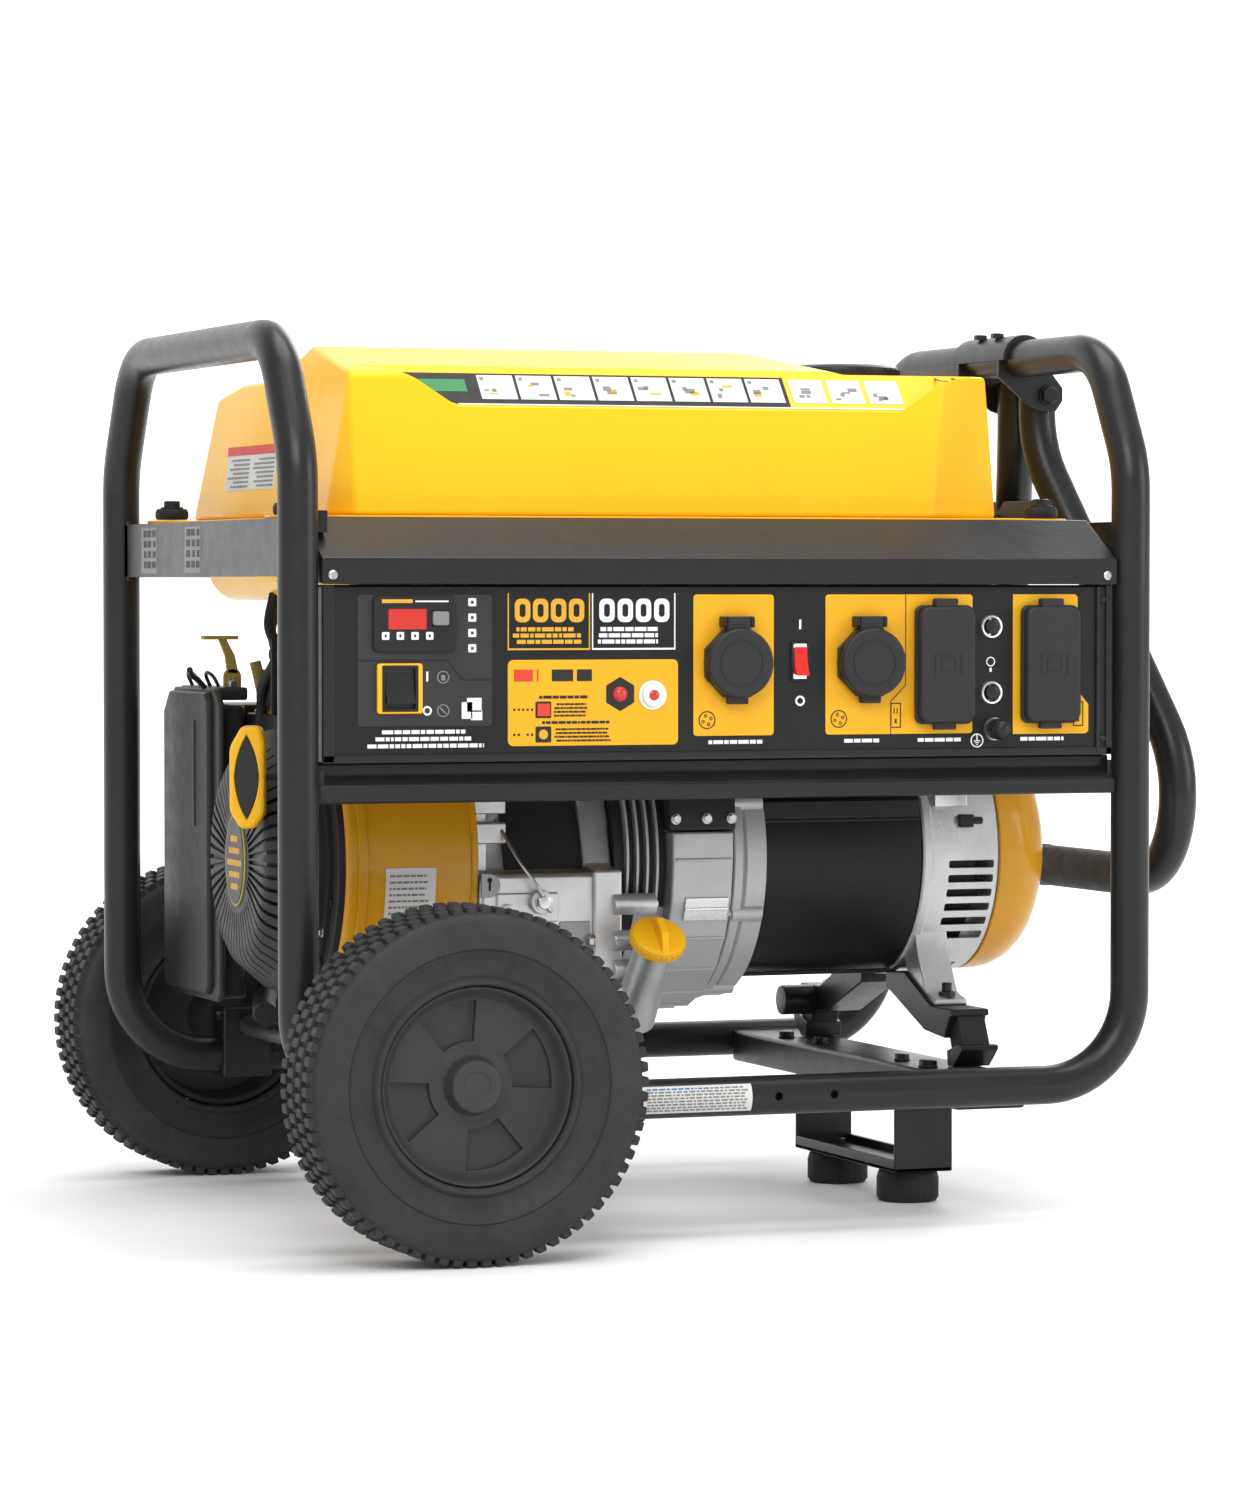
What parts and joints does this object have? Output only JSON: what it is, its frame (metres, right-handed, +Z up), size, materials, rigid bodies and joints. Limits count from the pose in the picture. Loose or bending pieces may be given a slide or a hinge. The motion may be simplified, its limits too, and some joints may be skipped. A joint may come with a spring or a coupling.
{
  "type": "portable generator",
  "caption": "Open-frame petrol generator on two wheels, with a top fuel tank, a front control panel with covered sockets, and a fold-down handle.",
  "frame": {"origin": "on the floor, under the middle of the overall box", "axes": "+Z up, X along the crankshaft with the alternator and handle at +X, -Y the control panel side"},
  "size_m": [0.7764, 0.7034, 0.675],
  "materials": {
    "frame_black": "satin powder coat",
    "panel_black": "fine textured paint",
    "gloss_yellow": "gloss enamel",
    "yellow_plastic": "moulded",
    "tyre_rubber": "moulded tread",
    "soft_rubber": "moulded",
    "black_plastic": "fine grain",
    "cast_aluminium": "as cast",
    "steel": "plain",
    "red_plastic": "smooth",
    "white_plastic": "smooth"
  },
  "bodies": {
    "chassis": {"left_hoop": "frame_black", "right_hoop": "frame_black", "engine_cross_member": "frame_black", "alternator_cross_member": "frame_black", "foot_bracket": "frame_black", "left_end_band": "frame_black", "right_end_band": "frame_black", "rear_cross_bar": "frame_black", "front_axle_bracket": "frame_black", "rear_axle_bracket": "frame_black", "hood": "frame_black", "panel_shelf": "frame_black", "handle_clamp": "frame_black", "control_panel": "panel_black", "alternator_shell": "panel_black", "tank_upper": "gloss_yellow", "tank_lower": "gloss_yellow", "blower_housing": "gloss_yellow", "end_cap": "gloss_yellow", "front_foot": "soft_rubber", "rear_foot": "soft_rubber", "front_mount": "soft_rubber", "rear_mount": "soft_rubber", "display_module": "black_plastic", "twist_socket_1": "black_plastic", "twist_socket_2": "black_plastic", "duplex_socket_1": "black_plastic", "duplex_socket_2": "black_plastic", "recoil_cover": "black_plastic", "air_cleaner": "black_plastic", "crankcase": "cast_aluminium", "cylinder": "cast_aluminium", "coupling_housing": "cast_aluminium", "end_bracket": "cast_aluminium", "carburettor": "cast_aluminium", "axle": "steel", "muffler": "steel", "handle_pin": "steel"},
    "front_wheel": {"front_rim": "black_plastic", "front_tyre": "tyre_rubber"},
    "rear_wheel": {"rear_rim": "black_plastic", "rear_tyre": "tyre_rubber"},
    "fold_handle": {"handle": "frame_black", "handle_grip": "soft_rubber"},
    "starter_grip": {"pull_grip": "yellow_plastic"},
    "cap": {"fuel_cap": "black_plastic"},
    "engine_switch": {"engine_rocker": "black_plastic"},
    "main_breaker": {"breaker_rocker": "red_plastic"},
    "cover_1": {"twist_cover_1": "black_plastic"},
    "cover_2": {"twist_cover_2": "black_plastic"},
    "cover_3": {"duplex_cover_1": "black_plastic"},
    "cover_4": {"duplex_cover_2": "black_plastic"},
    "push_breaker_1": {"breaker_button_1": "black_plastic"},
    "push_breaker_2": {"breaker_button_2": "black_plastic"},
    "key": {"display_key": "black_plastic"},
    "alarm": {"alarm_button": "white_plastic"},
    "ground_terminal": {"ground_knob": "black_plastic"},
    "oil_dipstick": {"dipstick": "yellow_plastic"},
    "rotating_shaft": {"crankshaft_rotor": "steel"},
    "choke": {"choke_lever": "yellow_plastic"}
  },
  "joints": [
    {"name": "front_wheel_spin", "type": "hinge", "parent": "chassis", "child": "front_wheel", "pos_m": [-0.26175, -0.3167, 0.1265], "axis": [0, 1, 0], "continuous": true},
    {"name": "rear_wheel_spin", "type": "hinge", "parent": "chassis", "child": "rear_wheel", "pos_m": [-0.26175, 0.3167, 0.1265], "axis": [0, 1, 0], "continuous": true},
    {"name": "handle_fold", "type": "hinge", "parent": "chassis", "child": "fold_handle", "pos_m": [0.31625, 0, 0.626], "axis": [0, -1, 0], "range_deg": [0, 95]},
    {"name": "starter_pull", "type": "slide", "parent": "chassis", "child": "starter_grip", "axis": [-1, 0, 0], "range_m": [0, 0.045], "stiffness_N_per_m": 60},
    {"name": "fuel_cap_turn", "type": "hinge", "parent": "chassis", "child": "cap", "pos_m": [0.17125, 0.034, 0.6363], "axis": [0, 0, 1], "range_deg": [0, 90]},
    {"name": "engine_switch_rock", "type": "hinge", "parent": "chassis", "child": "engine_switch", "pos_m": [-0.28575, -0.238, 0.403], "axis": [1, 0, 0], "range_deg": [0, 20]},
    {"name": "main_breaker_rock", "type": "hinge", "parent": "chassis", "child": "main_breaker", "pos_m": [0.02325, -0.238, 0.421], "axis": [1, 0, 0], "range_deg": [0, 20]},
    {"name": "cover_1_flip", "type": "hinge", "parent": "chassis", "child": "cover_1", "pos_m": [-0.02875, -0.2488, 0.45], "axis": [-1, 0, 0], "range_deg": [0, 100], "stiffness_Nm_per_rad": 0.05, "springref_deg": -28.65},
    {"name": "cover_2_flip", "type": "hinge", "parent": "chassis", "child": "cover_2", "pos_m": [0.07625, -0.2488, 0.45], "axis": [-1, 0, 0], "range_deg": [0, 100], "stiffness_Nm_per_rad": 0.05, "springref_deg": -28.65},
    {"name": "cover_3_flip", "type": "hinge", "parent": "chassis", "child": "cover_3", "pos_m": [0.13625, -0.2483, 0.4635], "axis": [-1, 0, 0], "range_deg": [0, 95], "stiffness_Nm_per_rad": 0.06, "springref_deg": -28.65},
    {"name": "cover_4_flip", "type": "hinge", "parent": "chassis", "child": "cover_4", "pos_m": [0.22225, -0.2483, 0.4635], "axis": [-1, 0, 0], "range_deg": [0, 95], "stiffness_Nm_per_rad": 0.06, "springref_deg": -28.65},
    {"name": "push_breaker_1_press", "type": "slide", "parent": "chassis", "child": "push_breaker_1", "axis": [0, 1, 0], "range_m": [0, 0.003], "stiffness_N_per_m": 300},
    {"name": "push_breaker_2_press", "type": "slide", "parent": "chassis", "child": "push_breaker_2", "axis": [0, 1, 0], "range_m": [0, 0.003], "stiffness_N_per_m": 300},
    {"name": "display_key_press", "type": "slide", "parent": "chassis", "child": "key", "axis": [0, 1, 0], "range_m": [0, 0.0015], "stiffness_N_per_m": 300},
    {"name": "alarm_button_press", "type": "slide", "parent": "chassis", "child": "alarm", "axis": [0, 1, 0], "range_m": [0, 0.002], "stiffness_N_per_m": 300},
    {"name": "ground_knob_turn", "type": "hinge", "parent": "chassis", "child": "ground_terminal", "pos_m": [0.17925, -0.241, 0.37], "axis": [0, 1, 0], "continuous": true},
    {"name": "dipstick_turn", "type": "hinge", "parent": "chassis", "child": "oil_dipstick", "pos_m": [-0.05975, -0.16279, 0.21064], "axis": [0, -0.6691, 0.7431], "range_deg": [0, 360]},
    {"name": "shaft_spin", "type": "hinge", "parent": "chassis", "child": "rotating_shaft", "pos_m": [-0.03375, 0, 0.27], "axis": [1, 0, 0], "continuous": true},
    {"name": "choke_swing", "type": "hinge", "parent": "chassis", "child": "choke", "pos_m": [-0.30375, 0.12, 0.4003], "axis": [0, 1, 0], "range_deg": [0, 45]}
  ]
}
